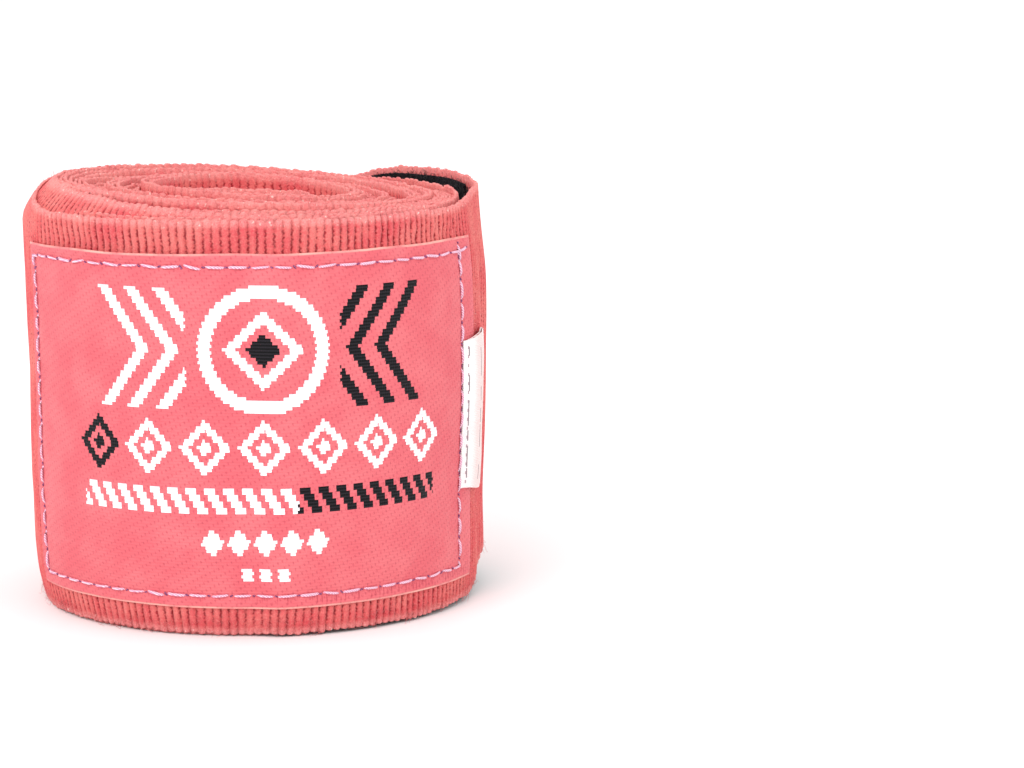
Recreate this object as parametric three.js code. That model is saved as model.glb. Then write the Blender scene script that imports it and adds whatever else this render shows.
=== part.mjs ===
// A hand wrap, rolled up and standing on its edge: one long elastic band wound on itself, a thumb loop
// in the core, a woven label and a care tag on the outer turn, and a hook-and-loop closure at its end.
// Millimetres, +Z up. The label faces -Y. Angles run round the roll from -Y towards +X, in degrees,
// which is the way the band winds outwards. The closure tab ends the band, so it has the largest angle.

import * as THREE from "three";

// The band and how it is wound.
const BAND_LENGTH = 4572;
const BAND_WIDTH = 50.8;
const BAND_THICKNESS = 0.47;
const WIND_GAP = 0.1;
const TURN_STEP = 18;
const FINE_STEP = 9;

// The closure tab is the band's last stretch. It bends at three lines, its root and two more.
const TAB_END = 237;
const TAB_HINGES = [99, 144, 189];
const TAB_PARTS = ["root", "middle", "end"];
const HINGE_GAP = 0.3;

// The two halves of the closure. The loop patch is one turn further in than the hook patch.
const LOOP_PATCH = { start: 20, end: 217, thickness: 0.9 };
const HOOK_PATCH = { start: 107, end: 232, thickness: 0.8, inset: 1.2 };
const PATCH_GAP = 0.15;
const PATCH_RAMP = 10;

// The woven label and the folded care tag over its end.
const LABEL = { start: -65, end: 73, bottom: 3.8, topMargin: 3.5, thickness: 0.35 };
const TAG = { length: 9.3, bottom: 14.9, height: 20.1, thickness: 0.4 };
const LABEL_SEAM = { start: -62, end: 66, inset: 1.5 };

// Sewing thread, drawn as a plain cord along each seam.
const THREAD_RADIUS = 0.2;
const THREAD_SIDES = 6;
const THREAD_GAP = 0.15;
const THREAD_SETBACK = 1;

// The thumb loop is a flat tape loop, wound up double in the core.
const THUMB_LOOP = { length: 45, margin: 3.4, thickness: 0.4, plyGap: 0.12, foldRadius: 0.85, lap: 50 };

// Heights of the outer turn's two edges: the lower one from the ground, the upper one from the band's
// width. Each pair is an angle and a height.
const LOWER_EDGE = [
  [-123, 0], [-80, 0.3], [60, 0.5], [75, 0.8], [105, 5.9], [118, 5.9], [133, 4.3], [157, 3.6], [190, 7.6],
  [237, 8],
];
const UPPER_EDGE = [[-123, 0], [-80, 0.4], [60, 0.4], [125, 3], [140, 3], [230, -10.3], [237, -10.3]];

// Heights of the loop patch's edges and of the tab's seam, given in the same way. The seam's upper line
// keeps a set distance from the tab's upper edge.
const PATCH_LOWER = [[20, 0.3], [75, 0.4], [117, 1.4], [135, 0.7], [155, 0.8], [217, 7.8]];
const PATCH_UPPER = [[20, -1], [165, -0.4], [222, -7]];
const SEAM_LOWER = [[102, 7.3], [165, 7.5], [215, 11]];
const TAB_SEAM = { upperStart: 124, upperEnd: 228, lowerStart: 102, lowerEnd: 215, inset: 2.8 };

// How far the inner turns stand above the outer ones, by their share of the roll's radius.
const TELESCOPE = [[0, 1.2], [0.28, 1.0], [0.4, 2.6], [0.86, 3.0], [0.93, 0], [1, 0]];

const material = (color, roughness) => new THREE.MeshStandardMaterial({ color, roughness, metalness: 0 });
const MATERIALS = {
  ribbed: material(0xf48983, 0.92),
  satin: material(0xf9787f, 0.6),
  black: material(0x0d0d10, 0.95),
  thread: material(0xecbcd8, 0.5),
  tag: material(0xf2ecee, 0.55),
};

// Sizes that follow from the ones above.
const PITCH = BAND_THICKNESS + WIND_GAP;
const LOOP_PITCH = 2 * THUMB_LOOP.thickness + THUMB_LOOP.plyGap + WIND_GAP;
const LOOP_RADIUS = Math.sqrt(THUMB_LOOP.foldRadius ** 2 + (THUMB_LOOP.length * LOOP_PITCH) / Math.PI);
const LOOP_OUTSIDE = LOOP_RADIUS + THUMB_LOOP.plyGap / 2 + THUMB_LOOP.thickness;
const BAND_START_RADIUS = LOOP_OUTSIDE + WIND_GAP + BAND_THICKNESS / 2;
const BAND_END_RADIUS = Math.sqrt(BAND_START_RADIUS ** 2 + (BAND_LENGTH * PITCH) / Math.PI);
const BAND_START = TAB_END - (360 * (BAND_END_RADIUS - BAND_START_RADIUS)) / PITCH;
const OUTER_TURN = TAB_END - 360;
const LABEL_TOP = BAND_WIDTH - LABEL.topMargin;
const LOOP_SWELL = LOOP_PATCH.thickness + 2 * PATCH_GAP - WIND_GAP;
const HOOK_SWELL = HOOK_PATCH.thickness + PATCH_GAP;

// A height read off a list of pairs, easing from each pair to the next.
function follow(pairs, x) {
  if (x <= pairs[0][0]) return pairs[0][1];
  const next = pairs.findIndex(([place]) => place >= x);
  if (next < 0) return pairs.at(-1)[1];
  const [[x0, y0], [x1, y1]] = [pairs[next - 1], pairs[next]];
  return THREE.MathUtils.lerp(y0, y1, THREE.MathUtils.smoothstep(x, x0, x1));
}

// The radius of the band's middle surface, before the patches push the outer turn out.
const woundRadius = (angle) => BAND_END_RADIUS - (PITCH * (TAB_END - angle)) / 360;

// How far the patches push the outer turn out. It is fully out a step before each patch starts.
function swell(angle) {
  const rise = ({ start }) => {
    const full = start - FINE_STEP;
    return THREE.MathUtils.smoothstep(angle, full - PATCH_RAMP, full);
  };
  return LOOP_SWELL * rise(LOOP_PATCH) + HOOK_SWELL * rise(HOOK_PATCH);
}

const bandRadius = (angle) => woundRadius(angle) + (angle > OUTER_TURN ? swell(angle) : 0);
const bandOutside = (angle) => bandRadius(angle) + BAND_THICKNESS / 2;
const lift = (angle) => follow(TELESCOPE, woundRadius(angle) / BAND_END_RADIUS);
const lowerEdge = (angle) => (angle > OUTER_TURN ? follow(LOWER_EDGE, angle) : lift(angle));
const upperEdge = (angle) =>
  BAND_WIDTH + (angle > OUTER_TURN ? follow(UPPER_EDGE, angle) : lift(angle));

function place(angle, radius, height) {
  const turn = THREE.MathUtils.degToRad(angle);
  return new THREE.Vector3(radius * Math.sin(turn), -radius * Math.cos(turn), height);
}

// Angles from start to end that stop at every whole step between them.
function stops(start, end, step) {
  const angles = [start];
  for (let angle = (Math.floor(start / step) + 1) * step; angle < end - 1e-6; angle += step) {
    if (angle > start + 1e-6) angles.push(angle);
  }
  return [...angles, end];
}

// A closed solid through a row of sections, which run anticlockwise seen along the row.
function loft(sections, joined = false) {
  const sides = sections[0].length;
  const index = [];
  const spans = joined ? sections.length : sections.length - 1;
  for (let i = 0; i < spans; i++) {
    const here = i * sides;
    const there = ((i + 1) % sections.length) * sides;
    for (let j = 0; j < sides; j++) {
      const k = (j + 1) % sides;
      index.push(here + j, there + j, there + k, here + j, there + k, here + k);
    }
  }
  const last = (sections.length - 1) * sides;
  for (let j = 1; !joined && j < sides - 1; j++) {
    index.push(0, j, j + 1, last, last + j + 1, last + j);
  }
  return new THREE.BufferGeometry().setFromPoints(sections.flat()).setIndex(index);
}

// A strip of cloth standing on edge along the given angles.
function strip(angles, radiusAt, thickness, bottomAt, topAt) {
  const sections = angles.map((angle) => {
    const inner = radiusAt(angle) - thickness / 2;
    const outer = radiusAt(angle) + thickness / 2;
    const [bottom, top] = [bottomAt(angle), topAt(angle)];
    return [
      place(angle, inner, bottom),
      place(angle, outer, bottom),
      place(angle, outer, top),
      place(angle, inner, top),
    ];
  });
  return loft(sections);
}

// A round cord along points on the roll, each an angle, a radius and a height.
function cord(route, joined = false) {
  const points = route.map(([angle, radius, height]) => place(angle, radius, height));
  const count = points.length;
  const sections = route.map(([angle], i) => {
    const before = joined ? points[(i + count - 1) % count] : points[Math.max(i - 1, 0)];
    const after = joined ? points[(i + 1) % count] : points[Math.min(i + 1, count - 1)];
    const along = after.clone().sub(before).normalize();
    const out = place(angle, 1, 0);
    const side = along.clone().cross(out).normalize();
    return Array.from({ length: THREAD_SIDES }, (_, j) => {
      const turn = (2 * Math.PI * j) / THREAD_SIDES;
      return points[i]
        .clone()
        .addScaledVector(side, THREAD_RADIUS * Math.cos(turn))
        .addScaledVector(out, THREAD_RADIUS * Math.sin(turn));
    });
  });
  return loft(sections, joined);
}

const handWrap = new THREE.Group();

function add(name, geometry, finish) {
  const mesh = new THREE.Mesh(geometry, MATERIALS[finish]);
  mesh.name = name;
  handWrap.add(mesh);
}

// Half of a hinge's gap, as an angle at the outside of the tab.
const hingeMargin = (angle) => THREE.MathUtils.radToDeg(HINGE_GAP / 2 / bandOutside(angle));

// The band from its inner end to the tab's root.
function makeBand() {
  const end = TAB_HINGES[0] - hingeMargin(TAB_HINGES[0]);
  const inside = stops(BAND_START, OUTER_TURN, TURN_STEP);
  const angles = [...inside, ...stops(OUTER_TURN, end, FINE_STEP).slice(1)];
  add("wrap_band", strip(angles, bandRadius, BAND_THICKNESS, lowerEdge, upperEdge), "ribbed");
}

// The tab's stretch between its hinge number i and the next one, or its end.
function tabSpan(i) {
  const start = TAB_HINGES[i] + hingeMargin(TAB_HINGES[i]);
  const next = TAB_HINGES[i + 1];
  return next === undefined ? [start, TAB_END] : [start, next - hingeMargin(next)];
}

function makeTab() {
  TAB_PARTS.forEach((part, i) => {
    const [start, end] = tabSpan(i);
    const angles = stops(start, end, FINE_STEP);
    const name = "closure_tab_" + part;
    add(name, strip(angles, bandRadius, BAND_THICKNESS, lowerEdge, upperEdge), "ribbed");
  });
}

function makeHookPatch() {
  const middle = BAND_THICKNESS / 2 + PATCH_GAP + HOOK_PATCH.thickness / 2;
  const radiusAt = (angle) => bandRadius(angle) - middle;
  const bottomAt = (angle) => lowerEdge(angle) + HOOK_PATCH.inset;
  const topAt = (angle) => upperEdge(angle) - HOOK_PATCH.inset;
  TAB_PARTS.forEach((part, i) => {
    const [start, end] = tabSpan(i);
    const angles = stops(Math.max(start, HOOK_PATCH.start), Math.min(end, HOOK_PATCH.end), FINE_STEP);
    add("hook_patch_" + part, strip(angles, radiusAt, HOOK_PATCH.thickness, bottomAt, topAt), "black");
  });
}

function makeLoopPatch() {
  const middle = BAND_THICKNESS / 2 + PATCH_GAP + LOOP_PATCH.thickness / 2;
  const radiusAt = (angle) => woundRadius(angle - 360) + middle;
  const bottomAt = (angle) => follow(PATCH_LOWER, angle);
  const topAt = (angle) => BAND_WIDTH + follow(PATCH_UPPER, angle);
  const angles = stops(LOOP_PATCH.start, LOOP_PATCH.end, FINE_STEP);
  add("loop_patch", strip(angles, radiusAt, LOOP_PATCH.thickness, bottomAt, topAt), "black");
}

const labelOutside = (angle) => bandOutside(angle) + PATCH_GAP + LABEL.thickness;

function makeLabel() {
  const radiusAt = (angle) => labelOutside(angle) - LABEL.thickness / 2;
  const angles = stops(LABEL.start, LABEL.end, FINE_STEP);
  const solid = strip(angles, radiusAt, LABEL.thickness, () => LABEL.bottom, () => LABEL_TOP);
  add("woven_label", solid, "satin");
}

// The box seam round the label, as one closed cord.
function makeLabelThread() {
  const low = LABEL.bottom + LABEL_SEAM.inset;
  const high = LABEL_TOP - LABEL_SEAM.inset;
  const radiusAt = (angle) => labelOutside(angle) + THREAD_GAP + THREAD_RADIUS;
  const angles = stops(LABEL_SEAM.start, LABEL_SEAM.end, FINE_STEP);
  const lower = angles.map((angle) => [angle, radiusAt(angle), low]);
  const upper = angles.map((angle) => [angle, radiusAt(angle), high]).reverse();
  add("label_thread", cord([...lower, ...upper], true), "thread");
}

// The folded care tag. It is caught in the label's seam, just past which it bends, and lies over the
// label's end.
function makeTag() {
  const clear = THREE.MathUtils.radToDeg((THREAD_RADIUS + THREAD_GAP) / labelOutside(LABEL_SEAM.end));
  const start = LABEL_SEAM.end + clear + hingeMargin(LABEL_SEAM.end);
  const end = start + THREE.MathUtils.radToDeg(TAG.length / bandOutside(start));
  const radiusAt = (angle) => labelOutside(angle) + PATCH_GAP + TAG.thickness / 2;
  const top = TAG.bottom + TAG.height;
  const angles = stops(start, end, FINE_STEP);
  add("care_tag", strip(angles, radiusAt, TAG.thickness, () => TAG.bottom, () => top), "tag");
}

// The box seam of the tab, cut where the tab bends: an end with three sides, two lines, an end.
function makeTabThreads() {
  const radiusAt = (angle) => bandOutside(angle) + THREAD_GAP + THREAD_RADIUS;
  const upper = (angle) => [angle, radiusAt(angle), upperEdge(angle) - TAB_SEAM.inset];
  const lower = (angle) => [angle, radiusAt(angle), follow(SEAM_LOWER, angle)];
  const setback = THREE.MathUtils.radToDeg(THREAD_SETBACK / bandOutside(TAB_END));
  const line = (point, start, end) => stops(start, end, FINE_STEP).map(point);
  const [, first, second] = TAB_HINGES;
  const { upperStart, upperEnd, lowerStart, lowerEnd } = TAB_SEAM;
  const side = (from, to) => {
    const [a, , z0] = from;
    const [b, , z1] = to;
    return [0.25, 0.5, 0.75].map((share) => {
      const angle = THREE.MathUtils.lerp(a, b, share);
      return [angle, radiusAt(angle), THREE.MathUtils.lerp(z0, z1, share)];
    });
  };
  const nearUpper = line(upper, upperStart, first - setback).reverse();
  const nearLower = line(lower, lowerStart, first - setback);
  const farUpper = line(upper, second + setback, upperEnd);
  const farLower = line(lower, second + setback, lowerEnd).reverse();
  const nearSide = side(upper(upperStart), lower(lowerStart));
  const farSide = side(upper(upperEnd), lower(lowerEnd));
  add("tab_thread_root", cord([...nearUpper, ...nearSide, ...nearLower]), "thread");
  add("tab_thread_middle_upper", cord(line(upper, first + setback, second - setback)), "thread");
  add("tab_thread_middle_lower", cord(line(lower, first + setback, second - setback)), "thread");
  add("tab_thread_end", cord([...farUpper, ...farSide, ...farLower]), "thread");
}

// The thumb loop. Its row of sections runs from the sewn end of the inner ply, in to the fold, and back
// out along the outer ply.
function makeThumbLoop() {
  const { margin, thickness, plyGap, foldRadius, lap } = THUMB_LOOP;
  const sewnEnd = BAND_START + lap;
  const fold = sewnEnd - (360 * (LOOP_RADIUS - foldRadius)) / LOOP_PITCH;
  const middle = (angle) => foldRadius + (LOOP_PITCH * (angle - fold)) / 360;
  const ply = (thickness + plyGap) / 2;
  const low = margin + follow(TELESCOPE, 0);
  const top = low + BAND_WIDTH - 2 * margin;
  const outerPly = stops(fold, sewnEnd, TURN_STEP);
  const plan = [
    ...[...outerPly].reverse().map((angle) => [angle, middle(angle) - ply, 1]),
    ...outerPly.map((angle) => [angle, middle(angle) + ply, -1]),
  ];
  const sections = plan.map(([angle, radius, inwards]) => {
    const left = radius + (inwards * thickness) / 2;
    const right = radius - (inwards * thickness) / 2;
    const corners = [[left, low], [right, low], [right, top], [left, top]];
    return corners.map(([across, height]) => place(angle, across, height));
  });
  add("thumb_loop", loft(sections), "ribbed");
}

makeBand();
makeTab();
makeHookPatch();
makeLoopPatch();
makeLabel();
makeLabelThread();
makeTag();
makeTabThreads();
makeThumbLoop();

// The origin is on the ground, under the middle of the whole object's box.
const middle = new THREE.Box3().setFromObject(handWrap).getCenter(new THREE.Vector3());
handWrap.position.set(-middle.x, -middle.y, 0);

export default handWrap;
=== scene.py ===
"""A rolled hand wrap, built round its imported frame: band, label, care tag, thumb loop and closure tab."""

import math

import bmesh
import bpy
import numpy as np
from mathutils import Matrix


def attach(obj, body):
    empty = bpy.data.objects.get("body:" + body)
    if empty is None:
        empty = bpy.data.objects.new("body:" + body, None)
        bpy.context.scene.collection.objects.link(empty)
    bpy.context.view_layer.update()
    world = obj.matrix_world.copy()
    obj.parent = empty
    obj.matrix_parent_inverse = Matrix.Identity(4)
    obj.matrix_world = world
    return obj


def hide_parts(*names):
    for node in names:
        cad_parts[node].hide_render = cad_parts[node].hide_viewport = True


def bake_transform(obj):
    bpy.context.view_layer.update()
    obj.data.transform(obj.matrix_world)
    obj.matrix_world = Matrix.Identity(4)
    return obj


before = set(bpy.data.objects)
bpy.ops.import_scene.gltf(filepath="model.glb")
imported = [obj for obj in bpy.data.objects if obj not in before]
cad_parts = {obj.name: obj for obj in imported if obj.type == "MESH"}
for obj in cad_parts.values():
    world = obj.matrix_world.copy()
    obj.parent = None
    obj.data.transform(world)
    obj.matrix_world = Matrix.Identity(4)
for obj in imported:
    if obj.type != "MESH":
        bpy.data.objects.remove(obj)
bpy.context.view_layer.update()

bl_info = {
    "name": "Hand Wrap",
    "version": (1, 0, 0),
    "blender": (4, 5, 0),
    "location": "View3D > Sidebar > Hand Wrap",
    "description": "Builds a rolled elastic hand wrap with its label, tag, seams and hook-and-loop closure",
    "category": "Object",
}

# Sizes are in millimetres. Angles are in degrees down the band, and go round from -Y towards +X.
MM = 0.001
BAND_LENGTH, BAND_WIDTH, BAND_THICKNESS, WIND_GAP = 4572.0, 50.8, 0.47, 0.1
HALF_BAND = BAND_THICKNESS / 2
PITCH = BAND_THICKNESS + WIND_GAP

# The thumb loop is wound up double in the core, and the band starts round it. The band's end radius and
# start angle follow from its length, rounded to 0.00001 mm and 0.01 degrees.
TAPE_LENGTH, TAPE_THICKNESS, PLY_GAP, FOLD_RADIUS = 45.0, 0.4, 0.12, 0.85
TAPE_PITCH = 2 * TAPE_THICKNESS + PLY_GAP + WIND_GAP
TAPE_RADIUS = math.sqrt(FOLD_RADIUS ** 2 + TAPE_LENGTH * TAPE_PITCH / math.pi)
BAND_START_RADIUS = TAPE_RADIUS + PLY_GAP / 2 + TAPE_THICKNESS + WIND_GAP + HALF_BAND
BAND_END_RADIUS = round(math.sqrt(BAND_START_RADIUS ** 2 + BAND_LENGTH * PITCH / math.pi), 5)
BAND_END = 237.0
BAND_START = round(BAND_END - 360.0 * (BAND_END_RADIUS - BAND_START_RADIUS) / PITCH, 2)
OUTER_TURN = BAND_END - 360.0

# The roll's axis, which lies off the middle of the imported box.
AXIS_X, AXIS_Y = -1.1424084, -0.6088190

# The run of band whose upper edge folds in, and the tab, with its patches and its bending lines.
LEAN_START, LEAN_END = -573.0, -185.0
TAB_NAMES = ("root", "middle", "end")
TAB_SPLITS = (70.0, 121.5, 166.5, BAND_END)
HOOK_SPLITS = (107.0, 128.0, 166.5, 232.0)
TAB_JOINTS = (("roll", "tab_root", 99.0), ("tab_root", "tab_middle", 144.0), ("tab_middle", "tab_end", 189.0))
TAB_RAMP, RIDE_MARGIN = 9.0, 1.1
LOOP_START, LOOP_END = 20.0, 217.0
LOOP_SWELL, HOOK_SWELL = 1.1, 0.95

# Heights of edges and seams, as pairs of angle and height. Upper edges are from the band's width.
LOWER_EDGE = ((-123, 0), (-80, 0.3), (60, 0.5), (75, 0.8), (105, 5.9), (118, 5.9), (133, 4.3), (157, 3.6),
              (190, 7.6), (237, 8))
UPPER_EDGE = ((-123, 0), (-80, 0.4), (60, 0.4), (125, 3), (140, 3), (230, -10.3), (237, -10.3))
PATCH_LOWER = ((20, 0.3), (75, 0.4), (117, 1.4), (135, 0.7), (155, 0.8), (217, 7.8))
PATCH_UPPER = ((20, -1), (165, -0.4), (222, -7))
SEAM_LOWER = ((102, 7.3), (165, 7.5), (215, 11))
SEAM_INSET = 2.8
SEAM_LOW_START, SEAM_LOW_END = 102.0, 215.0
SEAM_HIGH_START, SEAM_HIGH_END = 124.0, 228.0
LABEL_START, LABEL_END, LABEL_BOTTOM, LABEL_TOP, LABEL_INSET = -65.0, 73.0, 3.8, 47.3, 1.5
TAG_START, TAG_END, TAG_BOTTOM, TAG_HEIGHT = 66.3, 84.2, 14.9, 20.1

# How far the inner turns stand above the outer ones, by their share of the roll's radius.
TELESCOPE = ((0, 1.2), (0.28, 1.0), (0.4, 2.6), (0.86, 3.0), (0.93, 0), (1, 0))

# How the roll's side swells and tucks in, as heights and shifts, on its left and on its right.
LEFT_SIDE = ((-2, -1.6), (0.5, -1.0), (3, -0.25), (7, 0.15), (16, 0.45), (29, 0.4), (43, 0.7), (50, 1.0),
             (56, 1.1))
RIGHT_SIDE = ((-2, -2.3), (1.5, -1.9), (6, -1.8), (13, -1.85), (20, -1.65), (28, -1.3), (35, -1.3),
              (42, -1.4), (46, -1.8), (51, -2.4), (56, -2.7))

# Millimetres down the outer turn for each degree, and the radius used for short sideways steps on it.
DEGREE_RUN = 0.52
SIDE_RADIUS = 29.0

# Where neighbouring turns stand apart: angle, radius, depth and half width in degrees.
SLACK = ((-115.0, 17.6, 1.3, 30.0), (-25.0, 12.6, 1.3, 30.0), (30.0, 11.6, 1.0, 26.0),
         (160.0, 21.0, 0.8, 34.0))


def ease(x, low, high):
    """0 below low, 1 above high, and a smooth rise between them."""
    t = np.clip((np.asarray(x, float) - low) / (high - low), 0.0, 1.0)
    return t * t * (3.0 - 2.0 * t)


def follow(pairs, x):
    """A value read off a list of pairs, easing from each pair to the next."""
    value = np.full(np.shape(x), float(pairs[0][1]))
    for (x0, y0), (x1, y1) in zip(pairs, pairs[1:]):
        value = value + (y1 - y0) * ease(x, x0, x1)
    return value


def soften(pairs, width):
    """A table of a list of pairs with its corners rounded off."""
    step = 0.25
    heights = np.arange(-12.0, 66.0, step)
    values = np.interp(heights, *zip(*pairs))
    reach = np.arange(-4 * width, 4 * width + 0.1, step)
    weights = np.exp(-((reach / width) ** 2))
    padded = np.pad(values, len(reach) // 2, mode="edge")
    return heights, np.convolve(padded, weights / weights.sum(), mode="valid")[: len(heights)]


LEFT_TABLE, RIGHT_TABLE = soften(LEFT_SIDE, 1.6), soften(RIGHT_SIDE, 1.6)


def ripple(x, y, seed):
    """Smooth uneven waves over a surface, between about -1 and 1."""
    random = np.random.default_rng(seed)
    total = 0.0
    for strength in (0.5, 0.3, 0.2):
        a, b, c = random.uniform(0.6, 1.4), random.uniform(0.6, 1.4), random.uniform(0, 6.28)
        half = 0.5 / strength
        total = total + strength * np.sin(x * a * half + c) * np.cos(y * b * half + c * 1.7)
    return total


def wound_radius(angle):
    return BAND_END_RADIUS - PITCH * (BAND_END - angle) / 360.0


def swell(angle):
    """How far the two patches push the outer turn out."""
    return LOOP_SWELL * ease(angle, 1, 11) + HOOK_SWELL * ease(angle, 88, 98)


def crest(angle):
    """How far the inner turns stand above the band's width, round the roll."""
    turn = np.radians(angle)
    return 2.1 - 1.35 * np.sin(turn) - 0.2 * np.cos(turn)


def lean(angle):
    """How far the second turn's upper edge folds in over the turns inside it, from 0 to 1."""
    along = ease(angle, LEAN_START, -505) * (1 - ease(angle, -108, -52))
    return along * np.clip((crest(angle) - 0.6) / 2.6, 0.0, 1.0)


def steps(angle):
    """The heights of groups of inner turns, which slid past each other in winding."""
    random = np.random.default_rng(11)
    place = BAND_START + 250.0
    level, value = 0.0, 0.0
    while place < -2300.0:
        target = random.uniform(-1.0, 1.0)
        value = value + (target - level) * ease(angle, place, place + 80.0)
        level = target
        place += random.uniform(2.2, 5.0) * 360.0
    value = value - level * ease(angle, -2500.0, -2350.0)
    return value + 0.22 * np.sin(np.radians(angle) * 1.27 + 1.0) * ease(-angle, 1500.0, 2500.0)


def lower_edge(angle):
    inside = follow(TELESCOPE, wound_radius(angle) / BAND_END_RADIUS)
    inside = inside + 0.6 * steps(angle)
    uneven = 0.14 * ripple(np.radians(angle) * 3.0, 0.0, 5)
    return np.where(angle > OUTER_TURN, follow(LOWER_EDGE, angle), np.maximum(inside, 0.0)) + uneven + 0.12


def upper_edge(angle):
    radius = wound_radius(angle)
    rise = crest(angle)
    folded = np.clip((rise - 0.6) / 2.6, 0.0, 1.0)
    under = 0.5 + (28.3 - radius) / 3.3 * (rise - 0.5) - 0.9 * folded
    levels = (0.5, rise * 0.45, rise * 0.62, rise * 0.85 - 0.2, rise - 0.5)
    places = (4.5, 10.0, 15.0, 22.0, 25.0)
    inner = levels[0]
    for (r0, r1), (v0, v1) in zip(zip(places, places[1:]), zip(levels, levels[1:])):
        inner = inner + (v1 - v0) * ease(radius, r0, r1)
    mass = np.where(radius > 25.0, under, inner + steps(angle))
    tucked = lean(angle)
    mass = mass * (1 - tucked) + rise * tucked
    top = np.where(angle > -250.0, rise * tucked, mass)
    top = top + ease(angle, OUTER_TURN, -50.0) * follow(UPPER_EDGE, angle)
    top = top + 1.3 * np.exp(-(((angle + 232.0) / 38.0) ** 2))
    return BAND_WIDTH + top + 0.14 * ripple(np.radians(angle) * 2.3, 0.0, 8)


def barrel(angle, height):
    """The shape of the roll's side: how far it stands out or in at a height."""
    right = ease(np.sin(np.radians(angle)), -0.35, 1.0)
    return (1 - right) * np.interp(height, *LEFT_TABLE) + right * np.interp(height, *RIGHT_TABLE)


def slack(angle, radius):
    """Gaps between loosely wound turns near the core."""
    shift = 0.0
    for centre, place, depth, half in SLACK:
        apart = (angle - centre + 180.0) % 360.0 - 180.0
        opening = np.exp(-((apart / half) ** 2))
        shift = shift - depth * opening * ease(-radius, -place, -place + 0.7) * ease(radius, 5.0, place)
    return shift


def middle_radius(angle, height):
    """The radius of the band's middle surface at a place down the band and a height."""
    wound = wound_radius(angle)
    radius = wound + swell(angle) + slack(angle, wound)
    radius = radius + barrel(angle, height) * (wound / BAND_END_RADIUS) ** 1.5
    folded = np.clip(1 - (upper_edge(angle) - height) / 3.9, 0.0, 1.15) ** 1.4
    radius = radius - 3.3 * lean(angle) * folded
    outer = ease(angle, OUTER_TURN - 60.0, OUTER_TURN + 40.0)
    turn = np.radians(angle)
    radius = radius + outer * 0.1 * ripple(turn * 5.0, height * 0.16, 3)
    above_label = height - LABEL_TOP
    rim_run = ease(angle, -62, -48) * (1 - ease(angle, 66, 74))
    radius = radius - outer * 0.32 * rim_run * np.exp(-(((above_label - 0.6) / 1.3) ** 2))
    gather_run = ease(angle, 12, 38) * (1 - ease(angle, 66, 78))
    gathers = gather_run * np.exp(-(((above_label - 1.4) / 2.0) ** 2))
    return radius + outer * 0.22 * gathers * ripple(turn * 44.0, height * 1.1, 14)


# The length and the rib count at each place down the band. Ribs lie closer on the outer turns, up to the tab.
RULER = np.arange(BAND_START, BAND_END + 0.5, 0.5)
_radii = wound_radius(RULER) + swell(RULER)
_pieces = (_radii[1:] + _radii[:-1]) / 2 * math.radians(0.5)
_close = 1 + 0.09 * ease(RULER[1:], -640, -560) * (1 - ease(RULER[1:], 60, 110))
_arc = np.concatenate(([0.0], np.cumsum(_pieces)))
_ribs = np.concatenate(([0.0], np.cumsum(_pieces * _close)))


def rib_at(angle):
    return np.interp(angle, RULER, _ribs) / bpy.context.scene.wrap_band.rib_pitch * MM


def angle_at(rib):
    return np.interp(rib * bpy.context.scene.wrap_band.rib_pitch / MM, _ribs, RULER)


def on_roll(angle, radius, height):
    turn = np.radians(angle)
    return np.stack((AXIS_X + radius * np.sin(turn), AXIS_Y - radius * np.cos(turn), height), axis=-1)


def sway(angle, height):
    """How far ribs wander sideways, in millimetres."""
    turn = np.radians(angle)
    tab = ease(angle, 100, 170) * 0.05 * (height - 24.0)
    return 0.34 * ripple(turn * 3.1, height * 0.09, 21) + 0.1 * ripple(turn * 17.0, height * 0.5, 22) - tab


# ------------------------------------------------------------------------------------------
# Meshes


def link(name, mesh, finish):
    obj = bpy.data.objects.new(name, mesh)
    bpy.context.scene.collection.objects.link(obj)
    mesh.materials.append(finish)
    return obj


def read_points(mesh):
    flat = np.empty(len(mesh.vertices) * 3, np.float32)
    mesh.vertices.foreach_get("co", flat)
    return flat.reshape(-1, 3).astype(float)


def write_points(mesh, points):
    mesh.vertices.foreach_set("co", np.ascontiguousarray(points, np.float32).ravel())
    mesh.update()


def write_weave(mesh, values):
    attribute = mesh.attributes.get("weave") or mesh.attributes.new("weave", "FLOAT_VECTOR", "POINT")
    attribute.data.foreach_set("vector", np.ascontiguousarray(values, np.float32).ravel())


def smooth_faces(mesh, crease=62.0):
    mesh.shade_smooth()
    mesh.set_sharp_from_angle(angle=math.radians(crease))


def strip(name, along, section, shape, finish):
    """A closed strip of cloth. along runs down it, and section goes once round its cut end as rows of
    share of the height, extra height and side. shape turns those into points and weave values."""
    along, section = np.asarray(along, float), np.asarray(section, float)
    columns, rows = len(along) - 1, len(section)
    bm = bmesh.new()
    bmesh.ops.create_grid(bm, x_segments=columns, y_segments=rows, size=0.5)
    mesh = bpy.data.meshes.new(name)
    bm.to_mesh(mesh)
    bm.free()
    grid = read_points(mesh)
    column = np.rint((grid[:, 0] + 0.5) * columns).astype(int)
    row = np.rint((grid[:, 1] + 0.5) * rows).astype(int) % rows
    points, weave = shape(along[column], *section[row].T)
    write_points(mesh, points * MM)
    write_weave(mesh, weave)
    bm = bmesh.new()
    bm.from_mesh(mesh)
    bmesh.ops.remove_doubles(bm, verts=[v for v in bm.verts if v.is_boundary], dist=1e-8)
    bmesh.ops.holes_fill(bm, edges=[e for e in bm.edges if e.is_boundary], sides=0)
    bmesh.ops.recalc_face_normals(bm, faces=bm.faces)
    bm.to_mesh(mesh)
    bm.free()
    smooth_faces(mesh)
    return link(name, mesh, finish)


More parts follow.
